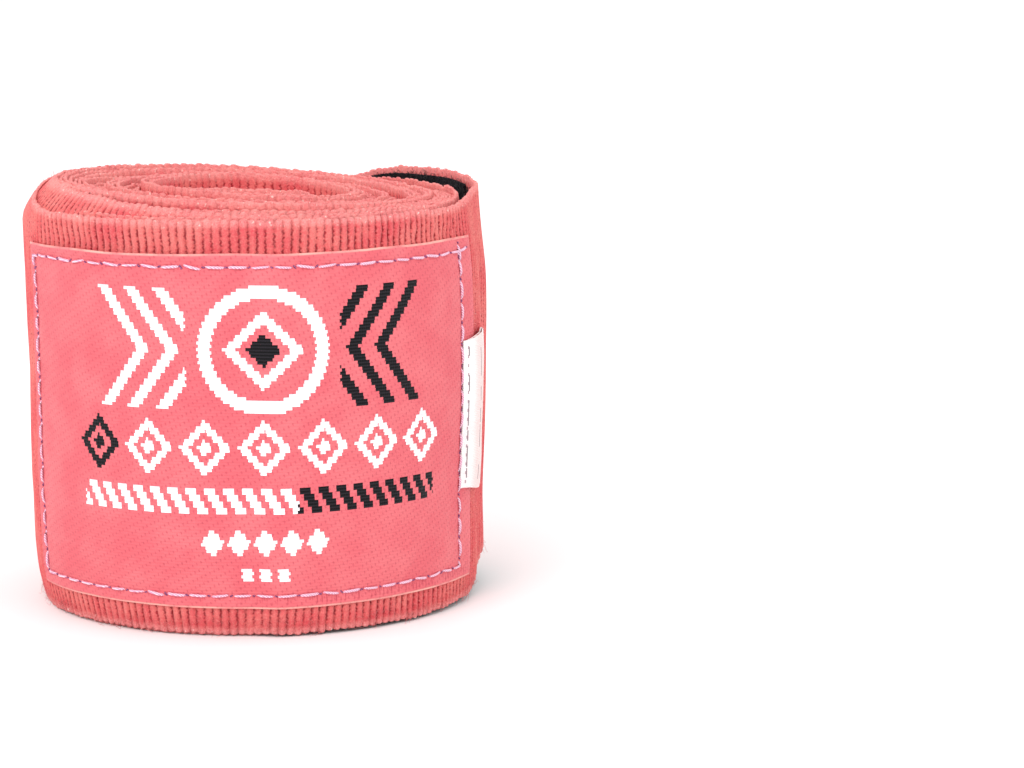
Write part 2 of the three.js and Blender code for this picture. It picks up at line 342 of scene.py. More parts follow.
def section_rows(outer, inner, rim=0.2):
    """Rows round a strip's cut end: up its outer face, over the rim, down its inner face and under."""
    rows = [(share, 0.0, 1.0) for share in outer]
    rows += [(1.0, rim * 0.75, 0.66), (1.0, rim, 0.0), (1.0, rim * 0.75, -0.66)]
    rows += [(share, 0.0, -1.0) for share in inner]
    rows += [(0.0, -rim * 0.75, -0.66), (0.0, -rim, 0.0), (0.0, -rim * 0.75, 0.66)]
    return rows


def spread(count, edge=0.35):
    """Shares from 0 to 1 that lie closer together near both edges."""
    t = np.linspace(0.0, 1.0, count)
    dense = 0.5 - 0.5 * np.cos(np.pi * t)
    return (1 - edge) * t + edge * dense


def rib_section(rib):
    """The height of a rib's rounded back, 0 in the groove and 1 on top."""
    return np.abs(np.sin(np.pi * rib)) ** 0.75


def ribbed_cloth(thickness, depth):
    """The shape of the band itself, for strip()."""

    def shape(rib, share, extra, side):
        angle = angle_at(rib)
        low, high = lower_edge(angle), upper_edge(angle)
        back = rib_section(rib)
        which = np.floor(rib)
        loose = np.sin(which * 12.9898) * 43758.5453
        loose = (loose - np.floor(loose)) - 0.5
        edge = np.where(share > 0.5, 1.0, -1.0) * np.clip(np.abs(share - 0.5) * 2 - 0.97, 0, 0.03) / 0.03
        height = low + share * (high - low) + extra + edge * (0.16 * back + 0.26 * loose - 0.1)
        height = np.maximum(height, 0.04)
        radius = middle_radius(angle, height) + side * thickness / 2
        bulge = depth * (back - 0.45) * (1 + 0.35 * np.sin(which * 7.3 + height * 0.35))
        radius = radius + np.minimum(np.abs(side) * 1.5, 1.0) * bulge * np.where(side > 0, 1.0, -0.4)
        radius = radius + seam_dent(angle, height) * (side > 0)
        shifted = angle + np.degrees(sway(angle, height) / np.maximum(radius, 6.0)) * ease(radius, 8.0, 14.0)
        width = high - low
        distance = np.minimum(share, 1 - share) * width
        return on_roll(shifted, radius, height), np.stack((rib, share * width, distance), axis=-1)

    return shape


def whole_ribs(start, end, per_rib):
    first, last = round(float(rib_at(start))), round(float(rib_at(end)))
    return np.linspace(first, last, (last - first) * per_rib + 1)


def band_piece(name, start, end, per_rib, section, thickness, depth):
    settings = bpy.context.scene.wrap_band
    piece = strip(name, whole_ribs(start, end, per_rib), section,
                  ribbed_cloth(thickness, depth * settings.rib_depth / MM), ribbed_finish())
    return piece


def seed_tube(name, rings, sides, finish):
    """A thin closed tube one unit long, lying along X and one unit across, to be repeated and placed."""
    bm = bmesh.new()
    bmesh.ops.create_cone(bm, cap_ends=True, segments=sides, radius1=0.5, radius2=0.5, depth=1.0,
                          matrix=Matrix.Rotation(math.radians(90), 4, "Y"))
    for cut in range(1, rings):
        geometry = bm.verts[:] + bm.edges[:] + bm.faces[:]
        bmesh.ops.bisect_plane(bm, geom=geometry, plane_co=(cut / rings - 0.5, 0, 0), plane_no=(1, 0, 0))
    bmesh.ops.recalc_face_normals(bm, faces=bm.faces)
    mesh = bpy.data.meshes.new(name)
    bm.to_mesh(mesh)
    bm.free()
    return link(name, mesh, finish)


def repeat(obj, count):
    """Repeats an object's mesh, each copy on top of the last, and returns its points as count rows."""
    array = obj.modifiers.new("repeat", "ARRAY")
    array.count = count
    array.use_relative_offset = False
    array.use_constant_offset = True
    array.constant_offset_displace = (0, 0, 0)
    graph = bpy.context.evaluated_depsgraph_get()
    graph.update()
    mesh = bpy.data.meshes.new_from_object(obj.evaluated_get(graph))
    obj.modifiers.clear()
    obj.data = mesh
    return read_points(mesh).reshape(count, -1, 3)


def tab_join(obj, part, start=None):
    """Leaves a piece of the tab where it is, or lets it ride on the far side of its joint if it starts near
    the bend's far end or past it."""
    near, far, angle = TAB_JOINTS[part]
    if start is not None and start >= angle + TAB_RAMP - RIDE_MARGIN:
        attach(obj, far)
        return
    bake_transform(obj)


# ------------------------------------------------------------------------------------------
# Finishes


def shade(red, green, blue):
    """A colour given as screen values from 0 to 255, in linear light."""
    def linear(value):
        value /= 255.0
        return value / 12.92 if value <= 0.04045 else ((value + 0.055) / 1.055) ** 2.4
    return (linear(red), linear(green), linear(blue), 1.0)


class Wiring:
    """Adds nodes to one tree and joins them."""

    def __init__(self, tree):
        self.tree = tree

    def add(self, kind, inputs=None, **settings):
        node = self.tree.nodes.new(kind)
        for key, value in settings.items():
            setattr(node, key, value)
        for key, value in (inputs or {}).items():
            self.feed(node.inputs[key], value)
        return node

    def feed(self, socket, value):
        if isinstance(value, bpy.types.NodeSocket):
            self.tree.links.new(value, socket)
        else:
            socket.default_value = value

    def calc(self, operation, *values):
        return self.add("ShaderNodeMath", dict(enumerate(values)), operation=operation).outputs[0]

    def plus(self, a, b):
        return self.calc("ADD", a, b)

    def minus(self, a, b):
        return self.calc("SUBTRACT", a, b)

    def times(self, a, b):
        return self.calc("MULTIPLY", a, b)

    def over(self, a, b):
        return self.calc("DIVIDE", a, b)

    def size(self, value):
        return self.calc("ABSOLUTE", value)

    def part(self, value):
        """What is left of a value over its whole number."""
        return self.calc("FRACT", value)

    def less(self, value, limit):
        return self.calc("LESS_THAN", value, limit)

    def more(self, value, limit):
        return self.calc("GREATER_THAN", value, limit)

    def wave(self, value, period):
        """A wave from -1 to 1 that repeats every period."""
        return self.calc("SINE", self.times(value, 2 * math.pi / period))

    def between(self, value, low, high, first=0.0, last=1.0):
        """A smooth rise from first to last as value goes from low to high."""
        node = self.add("ShaderNodeMapRange", {0: value, 1: low, 2: high, 3: first, 4: last})
        node.interpolation_type = "SMOOTHSTEP"
        return node.outputs[0]

    def mix(self, share, first, second):
        node = self.add("ShaderNodeMix", data_type="RGBA")
        self.feed(node.inputs[0], share)
        self.feed(node.inputs[6], first)
        self.feed(node.inputs[7], second)
        return node.outputs[2]

    def vector(self, x, y, z=0.0):
        return self.add("ShaderNodeCombineXYZ", {0: x, 1: y, 2: z}).outputs[0]

    def split(self, vector):
        return self.add("ShaderNodeSeparateXYZ", {0: vector}).outputs

    def noise(self, vector, scale, detail=2.0, roughness=0.5):
        node = self.add("ShaderNodeTexNoise", {"Vector": vector, "Scale": scale, "Detail": detail,
                                               "Roughness": roughness})
        return node.outputs[0]

    def both(self, first, *others):
        """Where every mask is set."""
        for other in others:
            first = self.times(first, other)
        return first

    def either(self, first, *others):
        for other in others:
            first = self.calc("MAXIMUM", first, other)
        return first


def new_group(name, inputs, outputs):
    tree = bpy.data.node_groups.new(name, "ShaderNodeTree")
    for title, kind, default in inputs:
        socket = tree.interface.new_socket(name=title, in_out="INPUT", socket_type=kind)
        if default is not None:
            socket.default_value = default
    for title in outputs:
        tree.interface.new_socket(name=title, in_out="OUTPUT", socket_type="NodeSocketFloat")
    given, out = tree.nodes.new("NodeGroupInput").outputs, tree.nodes.new("NodeGroupOutput").inputs
    return tree, Wiring(tree), given, out


def cloth_ribs():
    """Ribs with a dark zigzag of binding thread sunk between them."""
    if "Cloth ribs" in bpy.data.node_groups:
        return bpy.data.node_groups["Cloth ribs"]
    tree, w, given, out = new_group(
        "Cloth ribs",
        (("Weave", "NodeSocketVector", None), ("Groove", "NodeSocketFloat", 0.13),
         ("Zigzag", "NodeSocketFloat", 0.07), ("Strand", "NodeSocketFloat", 0.65)),
        ("Groove", "Fleck", "Height"))
    x, y, _ = w.split(given["Weave"])
    line = w.calc("FLOOR", w.plus(x, 0.5))
    chance = w.add("ShaderNodeTexWhiteNoise", {"W": line}, noise_dimensions="1D").outputs[0]
    lane = w.times(line, 3.17)
    wander = w.noise(w.vector(lane, w.times(y, 0.8)), 1.0, 2.0)
    place = w.plus(w.over(y, given["Strand"]), w.times(chance, 5.0))
    place = w.plus(place, w.times(wander, 2.2))
    zigzag = w.minus(w.times(w.calc("PINGPONG", place, 0.5), 4.0), 1.0)
    offset = w.plus(w.minus(x, line), w.times(zigzag, given["Zigzag"]))
    offset = w.plus(offset, w.times(w.minus(wander, 0.5), 0.16))
    away = w.size(offset)
    beads = w.noise(w.vector(lane, w.times(y, 2.1), 4.0), 1.0, 1.0)
    broken = w.between(beads, 0.36, 0.52, 0.2, 1.0)
    wide = w.times(given["Groove"], w.plus(0.55, w.times(beads, 0.9)))
    groove = w.between(away, w.times(wide, 0.35), w.times(wide, 1.5), 1.0, 0.0)
    w.feed(out["Groove"], w.times(groove, broken))
    streak = w.noise(w.vector(w.times(x, 1.1), w.times(y, 5.2)), 1.0, 2.0)
    w.feed(out["Fleck"], w.between(streak, 0.56, 0.72))
    back = w.between(away, 0.0, 0.42)
    strands = w.size(w.calc("SINE", w.times(place, math.pi)))
    w.feed(out["Height"], w.plus(back, w.times(strands, 0.16)))
    return tree


def yarn_grain():
    """Uneven dye and loose fuzz, for every cloth surface."""
    if "Yarn grain" in bpy.data.node_groups:
        return bpy.data.node_groups["Yarn grain"]
    tree, w, given, out = new_group(
        "Yarn grain", (("Size", "NodeSocketFloat", 1.0),), ("Mottle", "Fuzz", "Speck"))
    place = w.add("ShaderNodeTexCoord").outputs["Object"]
    w.feed(out["Mottle"], w.noise(place, w.over(170.0, given["Size"]), 3.0, 0.55))
    w.feed(out["Fuzz"], w.noise(place, w.over(4200.0, given["Size"]), 3.0, 0.7))
    fine = w.noise(place, w.over(2100.0, given["Size"]), 1.0)
    w.feed(out["Speck"], w.between(fine, 0.69, 0.75))
    return tree


def new_finish(name, **sockets):
    """A material with its shader's own sockets set, and the wiring to add to it."""
    material = bpy.data.materials.new(name)
    material.use_nodes = True
    shader = material.node_tree.nodes["Principled BSDF"]
    for key, value in sockets.items():
        shader.inputs[key.replace("_", " ")].default_value = value
    return material, Wiring(material.node_tree), shader.inputs


def weave_of(w):
    return w.add("ShaderNodeAttribute", attribute_name="weave").outputs["Vector"]


def group_in(w, tree, **inputs):
    node = w.add("ShaderNodeGroup", node_tree=tree)
    for key, value in inputs.items():
        w.feed(node.inputs[key], value)
    return node.outputs


def bump(w, height, distance, strength=1.0):
    return w.add("ShaderNodeBump", {"Height": height, "Distance": distance, "Strength": strength}).outputs[0]


def ribbed_finish():
    """The elastic band: soft ribs, dark sunk binding, pale fuzzy selvedges."""
    if "Ribbed band" in bpy.data.materials:
        return bpy.data.materials["Ribbed band"]
    settings = bpy.context.scene.wrap_band
    material, w, shader = new_finish("Ribbed band", Roughness=0.9, Sheen_Weight=0.2, Sheen_Roughness=0.5,
                                     Specular_IOR_Level=0.1)
    shader["Sheen Tint"].default_value = shade(255, 205, 200)
    weave = weave_of(w)
    _, _, edge = w.split(weave)
    ribs = group_in(w, cloth_ribs(), Weave=weave)
    grain = group_in(w, yarn_grain())
    light, deep = tuple(settings.rib_colour), tuple(settings.deep_colour)
    groove = tuple(settings.groove_colour)
    colour = w.mix(w.between(grain["Mottle"], 0.3, 0.7), light, deep)
    colour = w.mix(w.times(ribs["Fleck"], 0.5), colour, shade(236, 104, 108))
    inside = w.between(edge, 0.25, 1.5, 0.3, 1.0)
    colour = w.mix(w.times(ribs["Groove"], w.times(inside, 0.9)), colour, groove)
    # Painted shade: the band darkens towards the floor, over its lowest 3.5 mm.
    _, _, up = w.split(w.add("ShaderNodeTexCoord").outputs["Object"])
    colour = w.mix(w.between(up, 0.0, 0.0035, 0.6, 0.0), colour, shade(196, 44, 58))
    rim = w.between(edge, 0.1, 1.0, 1.0, 0.0)
    colour = w.mix(w.times(rim, w.times(grain["Fuzz"], 0.9)), colour, shade(255, 178, 174))
    colour = w.mix(w.times(grain["Speck"], w.times(rim, 0.7)), colour, shade(255, 232, 222))
    colour = w.mix(w.between(grain["Fuzz"], 0.45, 0.72, 0.0, 0.4), colour, shade(255, 158, 150))
    colour = w.mix(w.between(grain["Fuzz"], 0.28, 0.5, 0.3, 0.0), colour, shade(214, 48, 62))
    w.feed(shader["Base Color"], colour)
    w.feed(shader["Roughness"], w.plus(0.8, w.times(grain["Fuzz"], 0.2)))
    height = w.plus(w.times(ribs["Height"], 0.6), w.times(grain["Fuzz"], 1.1))
    w.feed(shader["Normal"], bump(w, height, 0.0002))
    return material


def woven_art(w, x, y):
    """The label's woven figure, as a white mask and a black one: a ring, diamonds, chevrons and plain rows.
    x runs along the label and y is the height, in millimetres. Rows are stepped as woven threads are."""
    thread_rise, thread_shift = 0.4, 0.22
    ring_height, ring_radius, ring_half_width = 35.7, 7.1, 0.8
    row = w.calc("FLOOR", w.over(y, thread_rise))
    y = w.times(w.plus(row, 0.5), thread_rise)
    odd = w.calc("MODULO", row, 2.0)
    x = w.plus(x, w.times(w.minus(odd, 0.5), thread_shift))
    up = w.minus(y, ring_height)
    far = w.size(x)
    distance = w.calc("SQRT", w.plus(w.times(x, x), w.times(up, up)))
    ring = w.less(w.size(w.minus(distance, ring_radius)), ring_half_width)
    slant = w.plus(far, w.size(up))
    gem = w.both(w.less(slant, 4.9), w.more(slant, 3.3))
    heart = w.less(slant, 2.1)
    # Chevrons on both sides of the ring, white on the left and black on the right.
    chevron_start, chevron_end, chevron_pitch, chevron_share = 6.2, 17.8, 3.9, 0.42
    arrow = w.minus(far, w.times(w.size(up), 0.75))
    turn = w.part(w.over(w.minus(arrow, chevron_start), chevron_pitch))
    wings = w.both(w.less(turn, chevron_share), w.more(arrow, chevron_start), w.less(arrow, chevron_end),
                   w.less(w.size(up), 7.4), w.more(far, 9.4))
    right = w.more(x, 0.0)
    # The wide row of lozenges, the first of them black.
    wide_height, wide_half_length, wide_pitch = 23.7, 25.2, 7.2
    level = w.size(w.minus(y, wide_height))
    along = w.over(w.plus(x, wide_half_length), wide_pitch)
    cell = w.size(w.minus(w.part(along), 0.5))
    lozenge = w.plus(w.times(cell, 2.25), w.over(level, 3.5))
    outline = w.both(w.less(lozenge, 1.0), w.more(lozenge, 0.62))
    wide = w.both(w.either(outline, w.less(lozenge, 0.3)), w.less(far, wide_half_length))
    first = w.less(x, wide_pitch - wide_half_length)
    # The narrow row of bars, white then black.
    bar_height, bar_half_length, bar_pitch, bar_share = 17.2, 24.0, 2.3, 0.58
    slope = w.plus(w.plus(x, 40.0), w.times(y, 0.6))
    bars = w.less(w.part(w.over(slope, bar_pitch)), bar_share)
    bars = w.both(bars, w.less(w.size(w.minus(y, bar_height)), 1.75), w.less(far, bar_half_length))
    late = w.more(x, 4.0)
    # The small row of beads, and three squares under it.
    bead_height, bead_half_length, bead_pitch = 12.0, 8.0, 3.2
    square_height, square_half_length, square_pitch = 8.0, 3.3, 2.2
    bead = w.plus(w.size(w.minus(w.part(w.over(w.plus(x, bead_half_length), bead_pitch)), 0.5)),
                  w.over(w.size(w.minus(y, bead_height)), 3.9))
    beads = w.both(w.less(bead, 0.46), w.less(far, bead_half_length))
    box = w.size(w.minus(w.part(w.over(w.plus(x, square_half_length), square_pitch)), 0.5))
    square = w.both(w.less(box, 0.3), w.less(w.size(w.minus(y, square_height)), 0.85),
                    w.less(far, square_half_length))
    white = w.either(ring, gem, w.both(wings, w.minus(1.0, right)), w.both(wide, w.minus(1.0, first)),
                     w.both(bars, w.minus(1.0, late)), beads, square)
    black = w.either(heart, w.both(wings, right), w.both(wide, first), w.both(bars, late))
    return white, black


def satin_finish():
    """The woven label: a shiny ground with a fine slanting weave, and a figure woven in white and black."""
    if "Label satin" in bpy.data.materials:
        return bpy.data.materials["Label satin"]
    settings = bpy.context.scene.wrap_label
    material, w, shader = new_finish("Label satin", Roughness=0.5, Sheen_Weight=0.03, Specular_IOR_Level=0.12)
    x, y, edge = w.split(weave_of(w))
    grain = group_in(w, yarn_grain(), Size=0.8)
    white, black = woven_art(w, x, y)
    dots = w.both(w.between(w.wave(w.plus(x, w.times(y, 0.32)), 0.62), 0.3, 0.9),
                  w.between(w.wave(w.minus(y, w.times(x, 0.5)), 0.95), -0.1, 0.8))
    colour = w.mix(w.between(grain["Mottle"], 0.3, 0.7), tuple(settings.ground_colour), shade(220, 101, 110))
    colour = w.mix(w.times(dots, 0.42), colour, shade(186, 66, 84))
    rows = w.between(w.wave(y, 0.4), -0.6, 0.8)
    # Painted shade in the creases of small pleats just below the label's lower seam, broken up by noise.
    broken = w.between(w.noise(w.vector(x, w.times(y, 0.6)), 1.3, 1.0), 0.4, 0.6)
    pleat_shade = w.both(w.between(w.wave(x, 0.62), 0.35, 0.9), broken, w.between(y, 4.1, 4.4),
                    w.between(y, 5.3, 5.7, 1.0, 0.0), w.between(x, -6.0, 6.0, 0.15, 1.0))
    colour = w.mix(w.times(pleat_shade, 0.6), colour, shade(176, 50, 70))
    colour = w.mix(white, colour, w.mix(rows, shade(236, 226, 232), shade(255, 254, 254)))
    colour = w.mix(black, colour, w.mix(rows, shade(8, 7, 10), shade(34, 30, 36)))
    rim = w.between(edge, 0.1, 0.26, 1.0, 0.0)
    pale = w.times(rim, w.between(grain["Mottle"], 0.35, 0.65, 0.15, 0.7))
    colour = w.mix(pale, colour, shade(246, 196, 180))
    w.feed(shader["Base Color"], colour)
    art = w.either(white, black)
    w.feed(shader["Roughness"], w.minus(0.56, w.times(art, 0.12)))
    threads = w.wave(x, 0.3)
    relief = w.plus(w.times(rows, 0.5), w.times(threads, 0.12))
    relief = w.plus(relief, w.times(art, 1.2))
    relief = w.minus(relief, w.times(dots, 0.5))
    w.feed(shader["Normal"], bump(w, relief, 0.00006))
    return material


def pile_finish():
    """The black nylon of both patches."""
    if "Black pile" in bpy.data.materials:
        return bpy.data.materials["Black pile"]
    material, w, shader = new_finish("Black pile", Roughness=0.85, Sheen_Weight=0.06, Specular_IOR_Level=0.15)
    shader["Sheen Tint"].default_value = shade(110, 105, 115)
    grain = group_in(w, yarn_grain(), Size=1.3)
    nap = w.between(grain["Fuzz"], 0.35, 0.75)
    w.feed(shader["Base Color"], w.mix(nap, shade(10, 9, 12), shade(38, 35, 41)))
    w.feed(shader["Roughness"], w.plus(0.7, w.times(grain["Mottle"], 0.3)))
    w.feed(shader["Normal"], bump(w, grain["Fuzz"], 0.0003))
    return material


def thread_finish(name, light, dark):
    """Sewing thread, twisted from two plies."""
    if name in bpy.data.materials:
        return bpy.data.materials[name]
    material, w, shader = new_finish(name, Roughness=0.45, Specular_IOR_Level=0.4)
    place = w.add("ShaderNodeTexCoord").outputs["Object"]
    x, y, z = w.split(place)
    twist = w.plus(w.plus(x, y), w.times(z, 1.3))
    ply = w.between(w.wave(twist, 0.00042), -0.7, 0.7)
    grain = group_in(w, yarn_grain(), Size=0.8)
    # Painted highlight along each ply of the twist and painted shade between the plies, dimmed in places by
    # uneven dye.
    ply_highlight = w.times(ply, w.between(grain["Mottle"], 0.2, 0.6, 0.7, 1.0))
    w.feed(shader["Base Color"], w.mix(ply_highlight, dark, light))
    w.feed(shader["Roughness"], w.between(grain["Fuzz"], 0.2, 0.8, 0.35, 0.6))
    w.feed(shader["Normal"], bump(w, ply, 0.00008))
    return material


def tag_finish():
    """The care tag: thin white satin with faint printed dashes and a row of needle holes."""
    if "Tag satin" in bpy.data.materials:
        return bpy.data.materials["Tag satin"]
    material, w, shader = new_finish("Tag satin", Roughness=0.4, Sheen_Weight=0.1, Specular_IOR_Level=0.45)
    x, y, _ = w.split(weave_of(w))
    grain = group_in(w, yarn_grain(), Size=0.9)
    line_pitch, hole_pitch = 2.9, 1.15
    column = w.part(w.over(w.minus(x, 0.75), line_pitch))
    dashes = w.noise(w.vector(w.calc("FLOOR", w.over(x, line_pitch)), w.times(y, 0.34)), 1.0, 2.0, 0.7)
    inside = w.both(w.between(y, 1.0, 1.2), w.between(y, 18.6, 18.8, 1.0, 0.0))
    print_mask = w.both(w.less(column, 0.07), w.more(dashes, 0.47), inside)
    holes = w.both(w.less(w.part(w.over(y, hole_pitch)), 0.36),
                   w.between(x, 0.58, 0.64), w.between(x, 0.8, 0.86, 1.0, 0.0))
    colour = w.mix(w.between(grain["Mottle"], 0.3, 0.7), shade(255, 248, 247), shade(248, 232, 232))
    # Painted pinkish shade across the middle of the tag, from 1.4 mm to 6.4 mm past its sewn end.
    pink_shade = w.both(w.between(x, 1.4, 3.2), w.between(x, 5.0, 6.4, 1.0, 0.0))
    colour = w.mix(w.times(pink_shade, 0.8), colour, shade(240, 208, 204))
    colour = w.mix(w.times(print_mask, 0.85), colour, shade(110, 96, 104))
    colour = w.mix(w.times(holes, 0.7), colour, shade(140, 90, 110))
    w.feed(shader["Base Color"], colour)
    w.feed(shader["Roughness"], w.between(grain["Fuzz"], 0.2, 0.8, 0.34, 0.5))
    weft = w.wave(y, 0.22)
    w.feed(shader["Normal"], bump(w, weft, 0.00002))
    return material


def floor_finish():
    if "Pale floor" in bpy.data.materials:
        return bpy.data.materials["Pale floor"]
    material, _, shader = new_finish("Pale floor", Roughness=0.85, Specular_IOR_Level=0.1)
    shader["Base Color"].default_value = tuple(bpy.context.scene.wrap_stage.floor_colour)
    return material


# ------------------------------------------------------------------------------------------
# Pieces


def make_core_turns():
    """The inner turns, in three lengths of the band."""
    section = section_rows((0, 0.012, 0.05, 0.4, 0.9, 0.96, 0.985, 1), (1, 0.975, 0.9, 0.4, 0.03, 0))
    cuts = [BAND_START, *(float(np.interp(share * np.interp(LEAN_START, RULER, _arc), _arc, RULER))
                          for share in (1 / 3, 2 / 3)), LEAN_START]
    for number, (start, end) in enumerate(zip(cuts, cuts[1:]), 1):
        piece = band_piece("band_core_%d" % number, start, end, 4, section, 0.316, 0.72)
        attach(piece, "roll")
        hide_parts("wrap_band")


def make_outer_turns():
    """The second turn, whose upper edge folds in, and the outer turn."""
    shares = np.concatenate((np.linspace(0, 0.03, 4), np.linspace(0.08, 0.86, 10), np.linspace(0.885, 1, 16)))
    second = band_piece("band_second_turn", LEAN_START, LEAN_END, 8,
                        section_rows(shares, (1, 0.98, 0.95, 0.92, 0.88, 0.5, 0.03, 0)), 0.316, 0.85)
    outer = band_piece("band_outer_turn", LEAN_END, TAB_SPLITS[0], 8,
                       section_rows(spread(58), spread(10)[::-1]), 0.33, 1.0)
    for piece in (second, outer):
        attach(piece, "roll")
        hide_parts("wrap_band")


def make_closure_tab():
    """The band's last stretch, in three lengths, each holding one of the tab's joint lines."""
    for part, (start, end) in enumerate(zip(TAB_SPLITS, TAB_SPLITS[1:])):
        piece = band_piece("closure_tab_cloth_" + TAB_NAMES[part], start, end, 8,
                           section_rows(spread(58), spread(12)[::-1]), 0.33, 1.0)
        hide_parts("closure_tab_" + TAB_NAMES[part])
        tab_join(piece, part)


def patch_shape(radius_at, low_at, high_at, thickness, seed):
    """A flat patch with a slightly uneven pile and frayed edges, for strip()."""

    def shape(angle, share, extra, side):
        low, high = low_at(angle), high_at(angle)
        fray = np.where(np.abs(share - 0.5) > 0.49, 0.16 * ripple(angle * 1.9, share * 3.0, seed), 0.0)
        height = low + share * (high - low) + extra + fray
        nap = 0.05 * ripple(angle * 1.7, height * 2.2, seed + 1)
        radius = radius_at(angle, height) + side * thickness / 2 + nap
        return on_roll(angle, radius, height), np.stack((angle, height, side), axis=-1)

    return shape


def loop_radius(angle, height):
    return middle_radius(angle - 360.0, height) + HALF_BAND + 0.45


def hook_radius(angle, height):
    return middle_radius(angle, height) - HALF_BAND - 0.35


def loop_low(angle):
    return follow(PATCH_LOWER, angle)


def loop_high(angle):
    return BAND_WIDTH + follow(PATCH_UPPER, angle)


def hook_low(angle):
    return lower_edge(angle) + 1.1


def hook_high(angle):
    return upper_edge(angle) - 0.9


def make_patches():
    """The black loop patch on the turn below, and the hook patch inside the tab."""
    rows = section_rows(spread(26), spread(14)[::-1], 0.1)
    angles = np.linspace(LOOP_START, LOOP_END, 330)
    shape = patch_shape(loop_radius, loop_low, loop_high, 0.5, 31)
    loop = strip("loop_pad", angles, rows, shape, pile_finish())
    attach(loop, "roll")
    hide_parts("loop_patch")
    for part, (start, end) in enumerate(zip(HOOK_SPLITS, HOOK_SPLITS[1:])):
        piece = strip("hook_pad_" + TAB_NAMES[part], np.linspace(start, end, int((end - start) * 1.6)), rows,
                      patch_shape(hook_radius, hook_low, hook_high, 0.4, 41), pile_finish())
        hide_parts("hook_patch_" + TAB_NAMES[part])
        tab_join(piece, part, start)


def bent_copies(name, count, rings, sides, finish, curve):
    """Many thin tubes, each bent along a curve: curve(i, t) gives points down them, and a half width."""
    piece = seed_tube(name, rings, sides, finish)
    local = repeat(piece, count)
    along = local[:, :, 0] + 0.5
    number = np.arange(count)[:, None] * np.ones_like(along)
    step = 1e-3
    centre, width = curve(number, along)
    ahead, _ = curve(number, along + step)
    tangent = (ahead - centre) / step
    tangent /= np.linalg.norm(tangent, axis=-1, keepdims=True) + 1e-12
    up = np.array((0.31, 0.17, 0.93))
    first = np.cross(tangent, up)
    first /= np.linalg.norm(first, axis=-1, keepdims=True) + 1e-12
    second = np.cross(tangent, first)
    offset = (first * local[:, :, 1:2] + second * local[:, :, 2:3]) * 2 * width[..., None]
    write_points(piece.data, ((centre + offset) * MM).reshape(-1, 3))
    piece.data.shade_smooth()
    return piece


def pile_of(name, count, seed, start, end, low_at, high_at, radius_at, outwards, tall, hooked, finish):
    """Small hooks or loops that stand on a patch."""
    random = np.random.default_rng(seed)
    angle = random.uniform(start, end, count)
    share = random.uniform(0.01, 0.99, count)
    if hooked:
        across = max(int(count ** 0.5), 1)
        column = np.arange(count) % across + random.uniform(-0.12, 0.12, count) + 0.5
        angle = start + (end - start) * (column / across)
        share = (np.arange(count) // across + 0.5 + random.uniform(-0.12, 0.12, count)) / (count / across)
        share = np.clip(share, 0.01, 0.99)
    height = low_at(angle) + share * (high_at(angle) - low_at(angle))
    radius = radius_at(angle, height) + outwards * 0.15
    heading, length = random.uniform(0, 2 * np.pi, count), tall * random.uniform(0.7, 1.15, count)
    if hooked:
        heading = np.where(np.arange(count) % 2 == 0, 0.0, np.pi) + random.uniform(-0.3, 0.3, count)

    def curve(i, t):
        i = i.astype(int)
        reach = 0.42 if hooked else 0.6
        bend = np.sin(t * np.pi * (0.8 if hooked else 1.0))
        sideways = reach * length[i] * (1 - np.cos(t * np.pi)) * 0.7
        out = radius[i] + outwards * length[i] * bend
        turn = angle[i] + np.degrees(sideways * np.cos(heading[i]) / SIDE_RADIUS)
        points = on_roll(turn, out, height[i] + sideways * np.sin(heading[i]))
        return points, np.full(t.shape, 0.055 if hooked else 0.035)

    return bent_copies(name, count, 4, 3, finish, curve)


def make_hooks_and_loops():
    """The hooks of one patch and the loops of the other."""
    finish = pile_finish()
    loops = pile_of("loop_pile", 1700, 3, 21.0, 216.0, loop_low, loop_high, loop_radius, 1.0, 0.34, False,
                    finish)
    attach(loops, "roll")
    fields = ((108.5, 127.5, 324), (128.5, 166.0, 729), (167.0, 231.0, 1024))
    for part, (start, end, count) in enumerate(fields):
        hooks = pile_of("hooks_" + TAB_NAMES[part], count, 5 + part, start, end, hook_low, hook_high,
                        hook_radius, -1.0, 0.3, True, finish)
        tab_join(hooks, part, start)


def label_radius(angle, height):
    """The middle of the label, puffed between its seams and pinched along them."""
    radius = middle_radius(angle, height) + HALF_BAND + 0.27
    reach = np.minimum(height - (LABEL_BOTTOM + LABEL_INSET), (LABEL_TOP - LABEL_INSET) - height)
    sides = np.minimum(angle - (LABEL_START + 3.2), 66.0 - angle) * 0.5
    inset = np.minimum(reach, sides)
    radius = radius - 0.16 * np.exp(-((inset / 0.55) ** 2)) + 0.16 * ease(inset, 0.3, 6.0)
    turn = np.radians(angle)
    radius = radius + 0.05 * ripple(turn * 36.0, height * 0.5, 51)
    gape = np.exp(-(((angle + 32.0) / 24.0) ** 2)) * ease(height, LABEL_TOP - 1.6, LABEL_TOP)
    return radius + 0.4 * gape + 0.12 * ease(angle, 68.0, LABEL_END)


